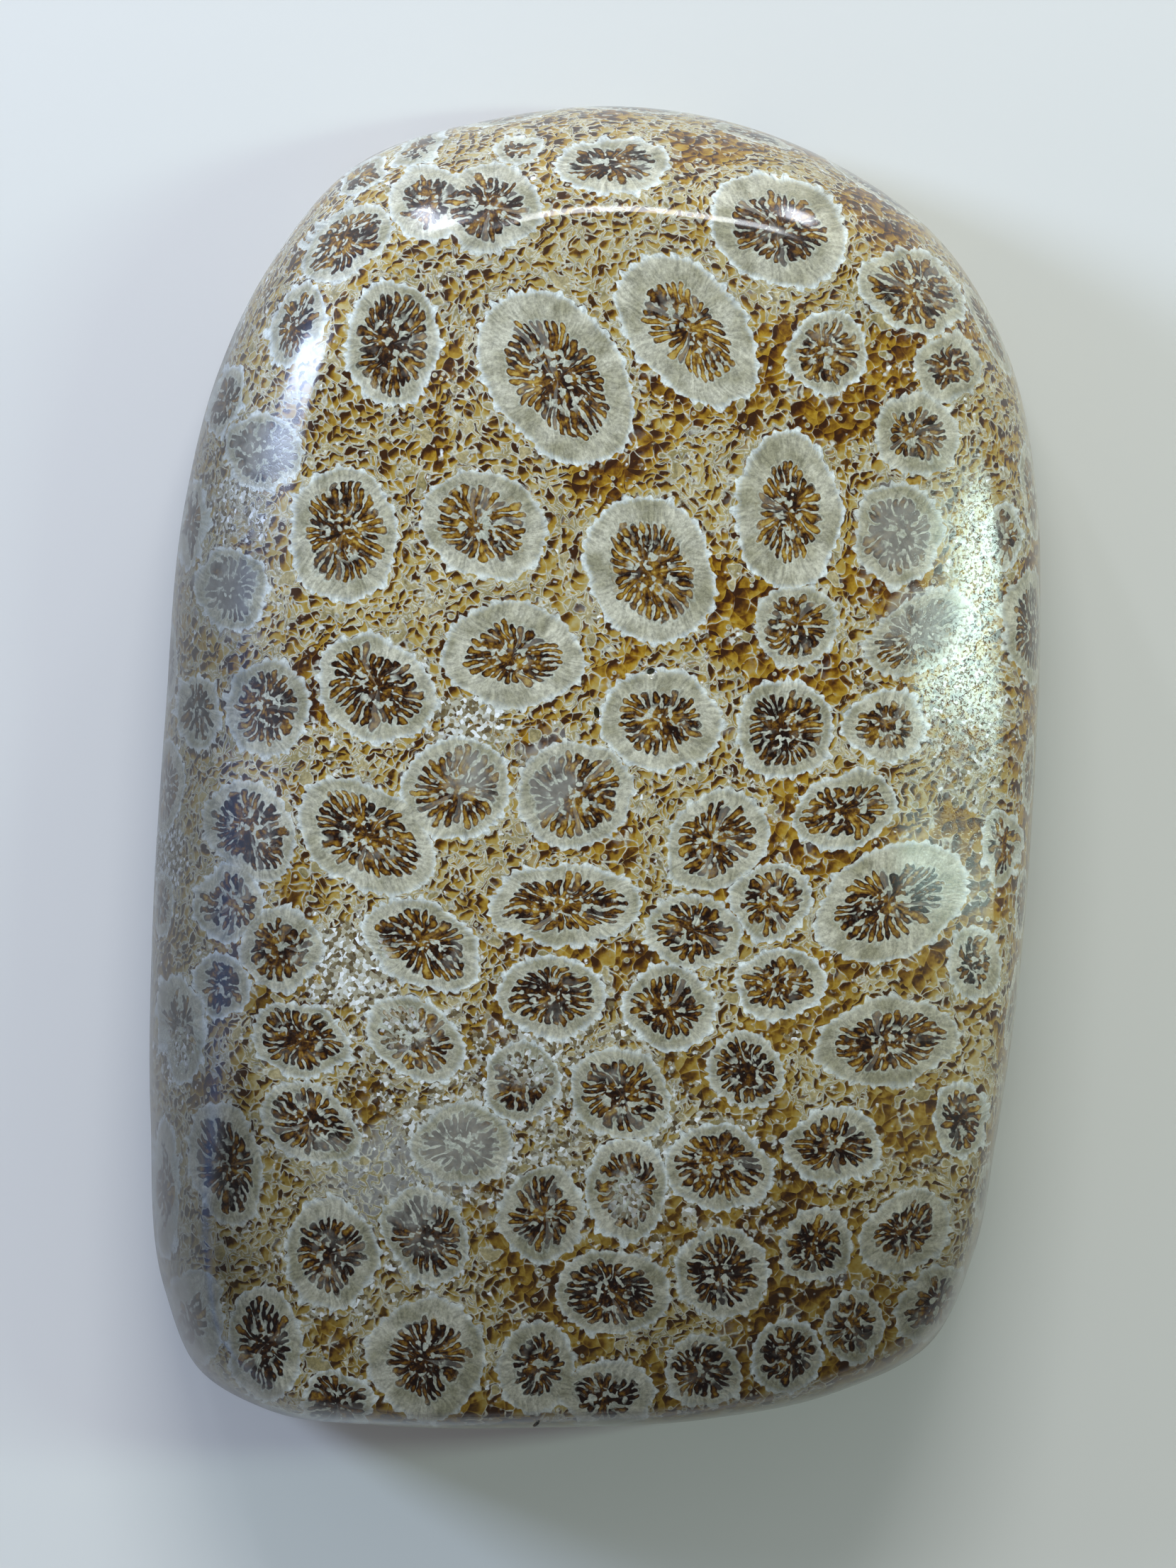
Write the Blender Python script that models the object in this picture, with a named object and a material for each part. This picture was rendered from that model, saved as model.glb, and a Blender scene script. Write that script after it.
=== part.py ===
"""A polished fossil coral head: one stone, ground to a tombstone outline, with a
domed front, rounded shoulders and a flat ground back that it lies on.

Run it with: blender --background --python part.py
Lengths are written in millimetres and turned to metres where the mesh is made.
The origin is the middle of the back. +X is the stone's right, +Y runs to its
arched end and +Z points out of the domed front.
"""

import math

import bmesh
import bpy
import numpy as np
from mathutils import Euler, Matrix, Vector

MM = 0.001

# --- Driving sizes, in millimetres -------------------------------------------------
HALF_WIDTH = 25.0
HALF_LENGTH = 37.0
THICKNESS = 18.5  # from the back to the crown of the dome
GIRDLE_HEIGHT = 5.0  # the widest line round the stone, above the back
UNDER_EDGE = 2.2  # how far in from the girdle the back's rounded edge reaches
FALL_ACROSS = 2.2  # how far the dome falls from the crown to either long side
FALL_ALONG = 1.6  # and to either end
RIGHT_TILT = 2.2  # the extra fall of the strip along the right side
RIGHT_TILT_FROM = 13.0  # how far right of the middle that strip starts
WAVE_HEIGHT = 0.10  # the slow unevenness that grinding by hand leaves
WAVE_LENGTH = 17.0

# The girdle seen from the front: x and y of a point, how far in from it the rounded
# shoulder reaches, and how square that shoulder is (2 is a quarter of an ellipse,
# less is a bevel with a crease above it, more is a tighter corner).
GIRDLE = [
    (0.9, 37.2, 6.9, 1.65),
    (7.3, 36.4, 6.6, 1.65),
    (13.7, 33.9, 5.7, 1.75),
    (19.5, 29.6, 5.4, 1.9),
    (23.3, 23.2, 4.4, 2.1),
    (24.9, 15.5, 3.2, 2.2),
    (25.1, 8.0, 2.5, 2.3),
    (24.7, -2.0, 2.3, 2.3),
    (23.9, -12.0, 2.3, 2.3),
    (22.6, -21.0, 2.3, 2.2),
    (21.3, -27.5, 2.3, 2.2),
    (18.9, -32.4, 2.1, 2.2),
    (13.7, -35.1, 1.8, 2.2),
    (6.5, -36.6, 1.6, 2.2),
    (-3.0, -37.1, 1.6, 2.2),
    (-11.9, -37.0, 1.7, 2.2),
    (-18.3, -36.2, 2.4, 2.2),
    (-22.2, -34.0, 3.8, 2.1),
    (-24.2, -29.5, 5.8, 2.0),
    (-25.0, -20.0, 8.0, 2.0),
    (-24.9, -9.0, 9.2, 2.0),
    (-24.2, 2.5, 9.8, 2.0),
    (-23.0, 15.2, 9.4, 2.0),
    (-21.4, 21.6, 8.8, 2.0),
    (-18.4, 28.0, 7.7, 1.95),
    (-13.5, 33.8, 7.5, 1.75),
    (-5.5, 36.5, 7.0, 1.65),
]
STEPS_BETWEEN_POINTS = 24  # how finely the curve through those points is followed

# Chips knocked out of the crisp lower rim and two vugs in the face: the middle of
# each bite, its three half sizes, and its turn about Z in degrees.
CHIPS = [
    ((-20.4, -35.9, 12.6), (0.55, 0.60, 3.0), 32.0),
    ((-6.0, -37.6, 14.8), (1.90, 0.95, 1.9), 3.0),
    ((-3.6, -37.2, 15.4), (0.16, 1.30, 2.4), -28.0),
    ((-2.2, -37.6, 14.6), (0.60, 0.60, 1.6), 10.0),
    ((11.2, -36.6, 14.0), (0.50, 0.60, 1.8), -18.0),
]
VUGS = [
    ((0.14, 2.88, 18.35), (0.16, 0.34, 0.55), 6.0),
    ((3.10, 5.15, 18.35), (0.24, 0.17, 0.50), 25.0),
]

# Squares of mesh across and along one face. They are fine enough for the shoulders.
SQUARES_ACROSS = 38
SQUARES_ALONG = 54


# --- The girdle --------------------------------------------------------------------
def curve_round(points):
    """A smooth closed curve through the points, column by column."""
    points = np.array(points)
    onward = np.roll(points, -1, axis=0) - points
    gap = np.hypot(onward[:, 0], onward[:, 1])[:, None]
    slope = onward / gap
    gap_before = np.roll(gap, 1, axis=0)
    tangent = (slope * gap_before + np.roll(slope, 1, axis=0) * gap) / (gap + gap_before)
    share = np.linspace(0, 1, STEPS_BETWEEN_POINTS, endpoint=False)[:, None, None]
    start = (2 * share**3 - 3 * share**2 + 1) * points
    leaving = (share**3 - 2 * share**2 + share) * gap * tangent
    end = (3 * share**2 - 2 * share**3) * np.roll(points, -1, axis=0)
    arriving = (share**3 - share**2) * gap * np.roll(tangent, -1, axis=0)
    return (start + leaving + end + arriving).transpose(1, 0, 2).reshape(-1, points.shape[1])


GIRDLE_CURVE = curve_round(GIRDLE)
GIRDLE_BEARINGS = np.arctan2(GIRDLE_CURVE[:, 1], GIRDLE_CURVE[:, 0])


def at_bearing(bearing, values):
    """What the values round the girdle come to at a bearing from the middle."""
    return np.interp(bearing, GIRDLE_BEARINGS, values, period=2 * math.pi)


def girdle_radius(bearing):
    return at_bearing(bearing, np.hypot(GIRDLE_CURVE[:, 0], GIRDLE_CURVE[:, 1]))


def shoulder_reach(bearing):
    return at_bearing(bearing, GIRDLE_CURVE[:, 2])


def shoulder_power(bearing):
    return at_bearing(bearing, GIRDLE_CURVE[:, 3])


# --- The surface -------------------------------------------------------------------
def dome(x, y):
    """Height of the domed front over the back, before the shoulders are rounded off."""
    height = THICKNESS - FALL_ACROSS * (x / HALF_WIDTH) ** 2 - FALL_ALONG * (y / HALF_LENGTH) ** 2
    strip = np.clip((x - RIGHT_TILT_FROM) / (HALF_WIDTH - RIGHT_TILT_FROM), 0.0, None)
    turn = 2 * math.pi / WAVE_LENGTH
    wave = np.sin(turn * (x + 0.4 * y) + 0.7) * np.sin(turn * (0.8 * y - 0.3 * x) + 2.1)
    return height - RIGHT_TILT * strip**2 + WAVE_HEIGHT * wave


def disc(u, v):
    """Presses the square (-1..1, -1..1) onto the stone: bearing, and 0..1 from middle to rim."""
    across = u * np.sqrt(1 - v * v / 2)
    along = v * np.sqrt(1 - u * u / 2)
    return np.arctan2(along * HALF_LENGTH, across * HALF_WIDTH), np.hypot(across, along)


def quarter(reach, height):
    """About the length of a quarter of an ellipse."""
    return math.pi / 2 * np.sqrt((reach**2 + height**2) / 2)


def front(u, v):
    """Points of the front: the dome, then the shoulder down to the girdle."""
    bearing, out = disc(u, v)
    radius = girdle_radius(bearing)
    reach = shoulder_reach(bearing)
    power = shoulder_power(bearing)
    rim_x = radius * np.cos(bearing)
    rim_y = radius * np.sin(bearing)
    drop = dome(rim_x, rim_y) - GIRDLE_HEIGHT
    face_share = (radius - reach) / (radius - reach + quarter(reach, drop))
    turn = np.clip((out - face_share) / (1 - face_share), 0, 1) * math.pi / 2
    on_face = (radius - reach) * np.minimum(out / face_share, 1)
    inset = on_face + reach * np.sin(turn) ** (2 / power)
    x = inset * np.cos(bearing)
    y = inset * np.sin(bearing)
    return np.stack([x, y, dome(x, y) - drop * (1 - np.cos(turn) ** (2 / power))], axis=-1)


def back(u, v):
    """Points of the back: flat, with an edge rounded up to the girdle."""
    bearing, out = disc(u, v)
    radius = girdle_radius(bearing)
    face_share = (radius - UNDER_EDGE) / (radius - UNDER_EDGE + quarter(UNDER_EDGE, GIRDLE_HEIGHT))
    turn = np.clip((out - face_share) / (1 - face_share), 0, 1) * math.pi / 2
    inset = (radius - UNDER_EDGE) * np.minimum(out / face_share, 1) + UNDER_EDGE * np.sin(turn)
    x = inset * np.cos(bearing)
    y = inset * np.sin(bearing)
    return np.stack([x, y, GIRDLE_HEIGHT * (1 - np.cos(turn))], axis=-1)


# --- Making the solid --------------------------------------------------------------
def add_sheet(bm, surface, faces_down):
    """A grid of squares pressed onto the surface."""
    made = bmesh.ops.create_grid(bm, x_segments=SQUARES_ACROSS, y_segments=SQUARES_ALONG, size=1.0)
    flat = np.array([vert.co[:2] for vert in made["verts"]])
    placed = surface(flat[:, 0], flat[:, 1]) * MM
    for vert, place in zip(made["verts"], placed):
        vert.co = place
    if faces_down:
        faces = list({face for vert in made["verts"] for face in vert.link_faces})
        bmesh.ops.reverse_faces(bm, faces=faces)


def coral_material():
    """Polished agatised coral: cream walls and brown cells, as one mean colour."""
    material = bpy.data.materials.new("agatised_coral")
    material.use_nodes = True
    shader = material.node_tree.nodes["Principled BSDF"]
    shader.inputs["Base Color"].default_value = (0.33, 0.25, 0.14, 1.0)
    shader.inputs["Metallic"].default_value = 0.0
    shader.inputs["Roughness"].default_value = 0.15
    return material


def make_stone():
    """The whole stone, before its chips."""
    bm = bmesh.new()
    add_sheet(bm, front, faces_down=False)
    add_sheet(bm, back, faces_down=True)
    bmesh.ops.remove_doubles(bm, verts=bm.verts, dist=0.001 * MM)
    bmesh.ops.triangulate(bm, faces=bm.faces, quad_method="SHORT_EDGE")
    mesh = bpy.data.meshes.new("coral_head")
    bm.to_mesh(mesh)
    bm.free()
    mesh.materials.append(coral_material())
    mesh.shade_smooth()
    stone = bpy.data.objects.new("coral_head", mesh)
    bpy.context.scene.collection.objects.link(stone)
    return stone


def bite(stone, name, middle, half_sizes, turn):
    """Takes one small shell-shaped bite out of the stone."""
    bm = bmesh.new()
    bmesh.ops.create_icosphere(bm, subdivisions=2, radius=1.0)
    mesh = bpy.data.meshes.new(name)
    bm.to_mesh(mesh)
    bm.free()
    place = Matrix.Translation(Vector(middle) * MM)
    spin = Euler((0.0, 0.0, math.radians(turn))).to_matrix().to_4x4()
    mesh.transform(place @ spin @ Matrix.Diagonal((*(Vector(half_sizes) * MM), 1.0)))
    cutter = bpy.data.objects.new(name, mesh)
    cutter.hide_render = True
    cutter.display_type = "WIRE"
    bpy.context.scene.collection.objects.link(cutter)
    cut = stone.modifiers.new(name, "BOOLEAN")
    cut.operation = "DIFFERENCE"
    cut.object = cutter


def main():
    for obj in list(bpy.data.objects):
        bpy.data.objects.remove(obj, do_unlink=True)
    stone = make_stone()
    for kind, bites in (("chip", CHIPS), ("vug", VUGS)):
        for number, (middle, half_sizes, turn) in enumerate(bites, start=1):
            bite(stone, f"{kind}_{number}", middle, half_sizes, turn)


main()
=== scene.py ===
# %% [markdown]
# # A polished fossil coral head
#
# This is a stone cut from fossil coral whose skeleton was replaced by chalcedony. Someone ground it to a
# tombstone outline, domed the front and polished it until the wet-looking pattern of the coral shows.
# The lesson makes one piece, the stone, and spends its effort on the pattern inside the polished surface.

import math

import bmesh
import bpy
import numpy as np
from mathutils import Euler, Matrix, Vector


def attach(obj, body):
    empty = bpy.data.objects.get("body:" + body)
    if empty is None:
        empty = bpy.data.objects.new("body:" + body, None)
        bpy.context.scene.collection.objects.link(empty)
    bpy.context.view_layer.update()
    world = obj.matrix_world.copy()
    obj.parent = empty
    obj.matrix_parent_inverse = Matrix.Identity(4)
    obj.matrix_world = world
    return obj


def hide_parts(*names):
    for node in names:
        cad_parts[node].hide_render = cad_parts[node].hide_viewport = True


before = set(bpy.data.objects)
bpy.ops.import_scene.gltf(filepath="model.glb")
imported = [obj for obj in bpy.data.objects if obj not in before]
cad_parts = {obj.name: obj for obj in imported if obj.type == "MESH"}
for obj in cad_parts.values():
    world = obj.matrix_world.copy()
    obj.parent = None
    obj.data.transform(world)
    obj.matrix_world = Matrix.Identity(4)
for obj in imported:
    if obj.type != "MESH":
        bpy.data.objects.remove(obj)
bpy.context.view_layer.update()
MM = 0.001

# %% [markdown]
# ## Camera
#
# The stone lies on its flat back, because its rounded lower edge could never carry it upright. The camera
# hangs straight above it, so the domed front is seen face on. A long lens half a metre away keeps the
# outline true and still shows a little of the sloping sides. The field is stated in millimetres at the
# height of the girdle, the widest line round the stone, and the lens follows from it.

# %% Camera
IMAGE_WIDTH, IMAGE_HEIGHT = 1659, 2212
CAMERA_HEIGHT = 500.0
CAMERA_X, CAMERA_Y = -0.34, -1.04
GIRDLE_HEIGHT = 5.0
FIELD_HEIGHT = 88.5  # millimetres of the girdle's plane from the top to the bottom of the frame
SENSOR = 36.0

camera = bpy.data.objects.new("camera", bpy.data.cameras.new("camera"))
camera.data.sensor_fit = "VERTICAL"
camera.data.sensor_height = SENSOR
camera.data.lens = SENSOR * (CAMERA_HEIGHT - GIRDLE_HEIGHT) / FIELD_HEIGHT
camera.data.clip_start = 0.01
camera.location = Vector((CAMERA_X, CAMERA_Y, CAMERA_HEIGHT)) * MM
bpy.context.scene.collection.objects.link(camera)
bpy.context.scene.camera = camera
print("lens, mm:", round(camera.data.lens, 1), "frame:", IMAGE_WIDTH, "by", IMAGE_HEIGHT)

# %% [markdown]
# ## Colours
#
# Colours are written as the hex values that a painter reads off a screen. Cycles works in linear light,
# so one function undoes the sRGB curve. The Standard view transform then shows those values as written.

# %% Colours
bpy.context.scene.view_settings.view_transform = "Standard"


def linear(hex_colour):
    """An sRGB hex value such as #cfc6a8 as linear red, green, blue and alpha."""
    parts = [int(hex_colour[start : start + 2], 16) / 255 for start in (1, 3, 5)]
    curve = [part / 12.92 if part <= 0.04045 else ((part + 0.055) / 1.055) ** 2.4 for part in parts]
    return (*curve, 1.0)


# %% [markdown]
# ## One function for shader nodes
#
# A procedural finish is a long chain of small nodes. One function adds a node, sets it up and links what
# feeds it. A Mix or a Math node hides the sockets that its settings don't use, so inputs are given in
# order for those in use, or by name: a Map Range takes its value, the range that comes in and the range
# that goes out, and a Multiply Add takes a source, its weight and what it is added to. A hex string
# becomes a colour, a node stands for its first output in use, and a plain number or tuple is typed in.

# %% Adding a node
def feed(socket, value):
    """Links a node or an output into a socket, or types a plain value into it."""
    if isinstance(value, bpy.types.Node):
        value = next(output for output in value.outputs if output.enabled)
    if isinstance(value, bpy.types.NodeSocket):
        tree.links.new(value, socket)
    else:
        socket.default_value = linear(value) if isinstance(value, str) else value


def add(kind, inputs=(), **settings):
    """Adds a shader node to the tree in hand, with its settings and what goes into it."""
    node = tree.nodes.new("ShaderNode" + kind)
    for name, value in settings.items():
        setattr(node, name, value)
    if isinstance(inputs, dict):
        sockets = [node.inputs[name] for name in inputs]
        inputs = inputs.values()
    else:
        sockets = [socket for socket in node.inputs if socket.enabled]
    for socket, value in zip(sockets, inputs):
        feed(socket, value)
    return node


SMOOTH = {"interpolation_type": "SMOOTHSTEP"}  # for a Map Range that eases in and out

# %% [markdown]
# ## Floor and studio
#
# A pale matt sheet stands in for the studio's table. It isn't part of the object. The light is what a small
# studio gives a polished stone. A strip beyond the arched end draws the crease of the bevel, and a faint
# softbox hangs above it. A tall bluish softbox shines on the left shoulder, two softboxes on the tilted
# side at the right, and two narrow strips at the corners of the arch. The world is dim overhead, because
# the nearly flat face mirrors what hangs straight above it, and a bright ceiling would veil the dark cells.
# Low at the left it is blue, as from a window.

# %% Floor
FLOOR_SIZE = 3.0
floor_mesh = bpy.data.meshes.new("floor")
half_floor = FLOOR_SIZE / 2
corners = [(side * half_floor, end * half_floor, 0) for side, end in ((-1, -1), (1, -1), (1, 1), (-1, 1))]
floor_mesh.from_pydata(corners, [], [(0, 1, 2, 3)])
floor = bpy.data.objects.new("floor", floor_mesh)
bpy.context.scene.collection.objects.link(floor)

paper = bpy.data.materials.new("matt_paper")
paper.use_nodes = True
paper.node_tree.nodes["Principled BSDF"].inputs["Base Color"].default_value = linear("#cbc8c1")
paper.node_tree.nodes["Principled BSDF"].inputs["Roughness"].default_value = 0.9
floor_mesh.materials.append(paper)
print("floor, metres across:", FLOOR_SIZE)

# %% Lights
# The name, azimuth and elevation in degrees, distance, width and length in metres, watts, and colour.
LAMPS = [
    ("strip_beyond", 88.0, 50.0, 0.34, 0.16, 0.090, 0.60, "#f4f9ff"),
    ("softbox_above", 92.0, 62.0, 0.40, 0.30, 0.22, 0.06, "#f4f8ff"),
    ("tall_softbox_left", 156.5, 24.0, 0.42, 0.085, 0.24, 1.75, "#c2d8ff"),
    ("strip_far_left", 113.0, 16.0, 0.42, 0.018, 0.22, 0.32, "#e2ecff"),
    ("strip_far_right", 68.0, 9.0, 0.42, 0.05, 0.12, 0.34, "#eef4ff"),
    ("tall_softbox_right", 3.2, 46.5, 0.42, 0.028, 0.145, 0.36, "#dcfff4"),
    ("small_softbox_right", 5.8, 42.0, 0.42, 0.014, 0.06, 0.07, "#dcfff4"),
]
for name, azimuth, elevation, distance, width, length, watts, colour in LAMPS:
    lamp = bpy.data.lights.new(name, "AREA")
    lamp.shape = "RECTANGLE"
    lamp.size, lamp.size_y = width, length
    lamp.energy = watts
    lamp.color = linear(colour)[:3]
    stand = bpy.data.objects.new(name, lamp)
    azimuth, elevation = math.radians(azimuth), math.radians(elevation)
    level = math.cos(elevation)
    toward = Vector((level * math.cos(azimuth), level * math.sin(azimuth), math.sin(elevation)))
    stand.location = toward * distance
    stand.rotation_euler = toward.to_track_quat("Z", "Y").to_euler()
    bpy.context.scene.collection.objects.link(stand)

print("lamps:", len(LAMPS))

# %% World
# How high a direction points, from 0 level to 1 straight up, and the radiance from there.
HORIZON, OVERHEAD = (0.30, (0.64, 0.66, 0.69, 1.0)), (0.92, (0.10, 0.10, 0.11, 1.0))
WINDOW_BLUE = (0.40, 0.72, 1.60, 1.0)
world = bpy.data.worlds.new("dim_studio")
world.use_nodes = True
bpy.context.scene.world = world
tree = world.node_tree
bearing = add("SeparateXYZ", (add("TexCoord").outputs["Generated"],))
glow = add("ValToRGB", (bearing.outputs["Z"],))
for stop, (height, radiance) in zip(glow.color_ramp.elements, (HORIZON, OVERHEAD)):
    stop.position, stop.color = height, radiance
leftward = add("MapRange", (bearing.outputs["X"], -0.45, -0.95, 0.0, 1.0), **SMOOTH)
low_down = add("MapRange", (bearing.outputs["Z"], 0.0, 0.50, 1.0, 0.0), **SMOOTH)
window = add("Math", (leftward, low_down), operation="MULTIPLY")
glow = add("Mix", (window, glow, WINDOW_BLUE), data_type="RGBA")
feed(tree.nodes["Background"].inputs["Color"], glow)
print("nodes in the world:", len(tree.nodes))

# %% [markdown]
# ## The stone's shape
#
# The stone is a girdle outline with a domed front, shoulders that roll over from the dome to the girdle,
# and a flat back with a rounded edge. It could be sculpted, or carved by lofted curves. A formula was
# chosen, because it gives the same surface at any fineness: a square grid is pressed onto a disc, and the
# disc is wrapped over the dome and down the shoulder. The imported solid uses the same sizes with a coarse
# grid, so this fine mesh lies on it everywhere.

# %% Driving sizes, in millimetres
HALF_WIDTH = 25.0
HALF_LENGTH = 37.0
THICKNESS = 18.5
UNDER_EDGE = 2.2
FALL_ACROSS = 2.2
FALL_ALONG = 1.6
RIGHT_TILT = 2.2
RIGHT_TILT_FROM = 13.0
WAVE_HEIGHT = 0.10  # half of what the hand-ground face rises and falls
WAVE_LENGTH = 17.0

# Each point of the girdle: x, y, how far in the shoulder reaches, and how square that shoulder is.
GIRDLE = [
    (0.9, 37.2, 6.9, 1.65),
    (7.3, 36.4, 6.6, 1.65),
    (13.7, 33.9, 5.7, 1.75),
    (19.5, 29.6, 5.4, 1.9),
    (23.3, 23.2, 4.4, 2.1),
    (24.9, 15.5, 3.2, 2.2),
    (25.1, 8.0, 2.5, 2.3),
    (24.7, -2.0, 2.3, 2.3),
    (23.9, -12.0, 2.3, 2.3),
    (22.6, -21.0, 2.3, 2.2),
    (21.3, -27.5, 2.3, 2.2),
    (18.9, -32.4, 2.1, 2.2),
    (13.7, -35.1, 1.8, 2.2),
    (6.5, -36.6, 1.6, 2.2),
    (-3.0, -37.1, 1.6, 2.2),
    (-11.9, -37.0, 1.7, 2.2),
    (-18.3, -36.2, 2.4, 2.2),
    (-22.2, -34.0, 3.8, 2.1),
    (-24.2, -29.5, 5.8, 2.0),
    (-25.0, -20.0, 8.0, 2.0),
    (-24.9, -9.0, 9.2, 2.0),
    (-24.2, 2.5, 9.8, 2.0),
    (-23.0, 15.2, 9.4, 2.0),
    (-21.4, 21.6, 8.8, 2.0),
    (-18.4, 28.0, 7.7, 1.95),
    (-13.5, 33.8, 7.5, 1.75),
    (-5.5, 36.5, 7.0, 1.65),
]
STEPS_BETWEEN_POINTS = 24

# %% The curve through the girdle's points
def curve_round(points):
    """A smooth closed curve through the points, column by column."""
    points = np.array(points)
    onward = np.roll(points, -1, axis=0) - points
    gap = np.hypot(onward[:, 0], onward[:, 1])[:, None]
    slope = onward / gap
    gap_before = np.roll(gap, 1, axis=0)
    tangent = (slope * gap_before + np.roll(slope, 1, axis=0) * gap) / (gap + gap_before)
    share = np.linspace(0, 1, STEPS_BETWEEN_POINTS, endpoint=False)[:, None, None]
    start = (2 * share**3 - 3 * share**2 + 1) * points
    leaving = (share**3 - 2 * share**2 + share) * gap * tangent
    end = (3 * share**2 - 2 * share**3) * np.roll(points, -1, axis=0)
    arriving = (share**3 - share**2) * gap * np.roll(tangent, -1, axis=0)
    return (start + leaving + end + arriving).transpose(1, 0, 2).reshape(-1, points.shape[1])


GIRDLE_CURVE = curve_round(GIRDLE)
GIRDLE_BEARINGS = np.arctan2(GIRDLE_CURVE[:, 1], GIRDLE_CURVE[:, 0])
GIRDLE_RADII = np.hypot(GIRDLE_CURVE[:, 0], GIRDLE_CURVE[:, 1])
print("points round the girdle:", len(GIRDLE_CURVE))


def at_bearing(bearing, values):
    """What the values round the girdle come to at a bearing from the middle."""
    return np.interp(bearing, GIRDLE_BEARINGS, values, period=2 * math.pi)


# %% The dome, the shoulder and the back
def dome(x, y):
    """Height of the domed front over the back, before the shoulders are rounded off."""
    height = THICKNESS - FALL_ACROSS * (x / HALF_WIDTH) ** 2 - FALL_ALONG * (y / HALF_LENGTH) ** 2
    strip = np.clip((x - RIGHT_TILT_FROM) / (HALF_WIDTH - RIGHT_TILT_FROM), 0.0, None)
    turn = 2 * math.pi / WAVE_LENGTH
    one_way, other_way = turn * (x + 0.4 * y) + 0.7, turn * (0.8 * y - 0.3 * x) + 2.1
    wave = np.sin(one_way) * np.sin(other_way)
    return height - RIGHT_TILT * strip**2 + WAVE_HEIGHT * wave


def disc(u, v):
    """Presses the square (-1..1, -1..1) onto the stone: bearing, and 0..1 from middle to rim."""
    across = u * np.sqrt(1 - v * v / 2)
    along = v * np.sqrt(1 - u * u / 2)
    return np.arctan2(along * HALF_LENGTH, across * HALF_WIDTH), np.hypot(across, along)


def rounded_edge(out, radius, reach, height):
    """How far out the flat part goes and how far round the edge a point is, for an edge of that size."""
    quarter = math.pi / 2 * np.sqrt((reach**2 + height**2) / 2)  # about a quarter of an ellipse
    face_share = (radius - reach) / (radius - reach + quarter)
    turn = np.clip((out - face_share) / (1 - face_share), 0, 1) * math.pi / 2
    return (radius - reach) * np.minimum(out / face_share, 1), turn


def front(u, v):
    """Points of the front: the dome, then the shoulder down to the girdle."""
    bearing, out = disc(u, v)
    radius, reach, power = [
        at_bearing(bearing, values) for values in (GIRDLE_RADII, GIRDLE_CURVE[:, 2], GIRDLE_CURVE[:, 3])
    ]
    drop = dome(radius * np.cos(bearing), radius * np.sin(bearing)) - GIRDLE_HEIGHT
    flat, turn = rounded_edge(out, radius, reach, drop)
    inset = flat + reach * np.sin(turn) ** (2 / power)
    x, y = inset * np.cos(bearing), inset * np.sin(bearing)
    return np.stack([x, y, dome(x, y) - drop * (1 - np.cos(turn) ** (2 / power))], axis=-1)


def back(u, v):
    """Points of the back: flat, with an edge rounded up to the girdle."""
    bearing, out = disc(u, v)
    flat, turn = rounded_edge(out, at_bearing(bearing, GIRDLE_RADII), UNDER_EDGE, GIRDLE_HEIGHT)
    inset = flat + UNDER_EDGE * np.sin(turn)
    height = GIRDLE_HEIGHT * (1 - np.cos(turn))
    return np.stack([inset * np.cos(bearing), inset * np.sin(bearing), height], axis=-1)


# %% [markdown]
# ## The fine mesh
#
# Two grids make the stone, one for the front and one for the back, welded along the girdle. Their squares
# are about a third of a millimetre, small enough that the shoulders mirror the lamps without facets. A
# UV map named OFBake keeps the grid's own square layout and gives two thirds of its width to the front,
# which is what people look at.

# %% Building the fine mesh
SQUARES_ACROSS = 170
SQUARES_ALONG = 240
FRONT_SHARE = 0.66  # of the UV map's width
UV_MARGIN = 0.006
WELD = 0.001  # millimetres


def add_sheet(bm, surface, uv_left, uv_right, faces_down):
    """A grid of squares pressed onto the surface, with its layout kept as UVs."""
    made = bmesh.ops.create_grid(bm, x_segments=SQUARES_ACROSS, y_segments=SQUARES_ALONG, size=1.0)
    square = np.array([vert.co[:2] for vert in made["verts"]])
    placed = surface(square[:, 0], square[:, 1]) * MM
    layer = bm.loops.layers.uv.verify()
    across = uv_left + UV_MARGIN + (square[:, 0] + 1) / 2 * (uv_right - uv_left - 2 * UV_MARGIN)
    along = UV_MARGIN + (square[:, 1] + 1) / 2 * (1 - 2 * UV_MARGIN)
    for vert, place, uv in zip(made["verts"], placed, np.stack([across, along], axis=-1)):
        vert.co = place
        for loop in vert.link_loops:
            loop[layer].uv = uv
    if faces_down:
        faces = list({face for vert in made["verts"] for face in vert.link_faces})
        bmesh.ops.reverse_faces(bm, faces=faces)


bm = bmesh.new()
add_sheet(bm, front, 0.0, FRONT_SHARE, faces_down=False)
add_sheet(bm, back, FRONT_SHARE, 1.0, faces_down=True)
bmesh.ops.remove_doubles(bm, verts=bm.verts, dist=WELD * MM)
stone_mesh = bpy.data.meshes.new("polished_coral")
bm.to_mesh(stone_mesh)
bm.free()
stone_mesh.uv_layers[0].name = "OFBake"
stone = bpy.data.objects.new("polished_coral", stone_mesh)
bpy.context.scene.collection.objects.link(stone)
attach(stone, "root")
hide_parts("coral_head")
print("squares in the fine mesh:", len(stone_mesh.polygons))

# %% [markdown]
# ## Chips and vugs
#
# The crisp lower rim has lost a few flakes, and the face has two tiny open holes that geologists call
# vugs. Each is a small ellipsoid taken out of the stone. A bump map could darken them, but a hole that
# light can enter is darker still and shows in the mesh as well.

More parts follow.
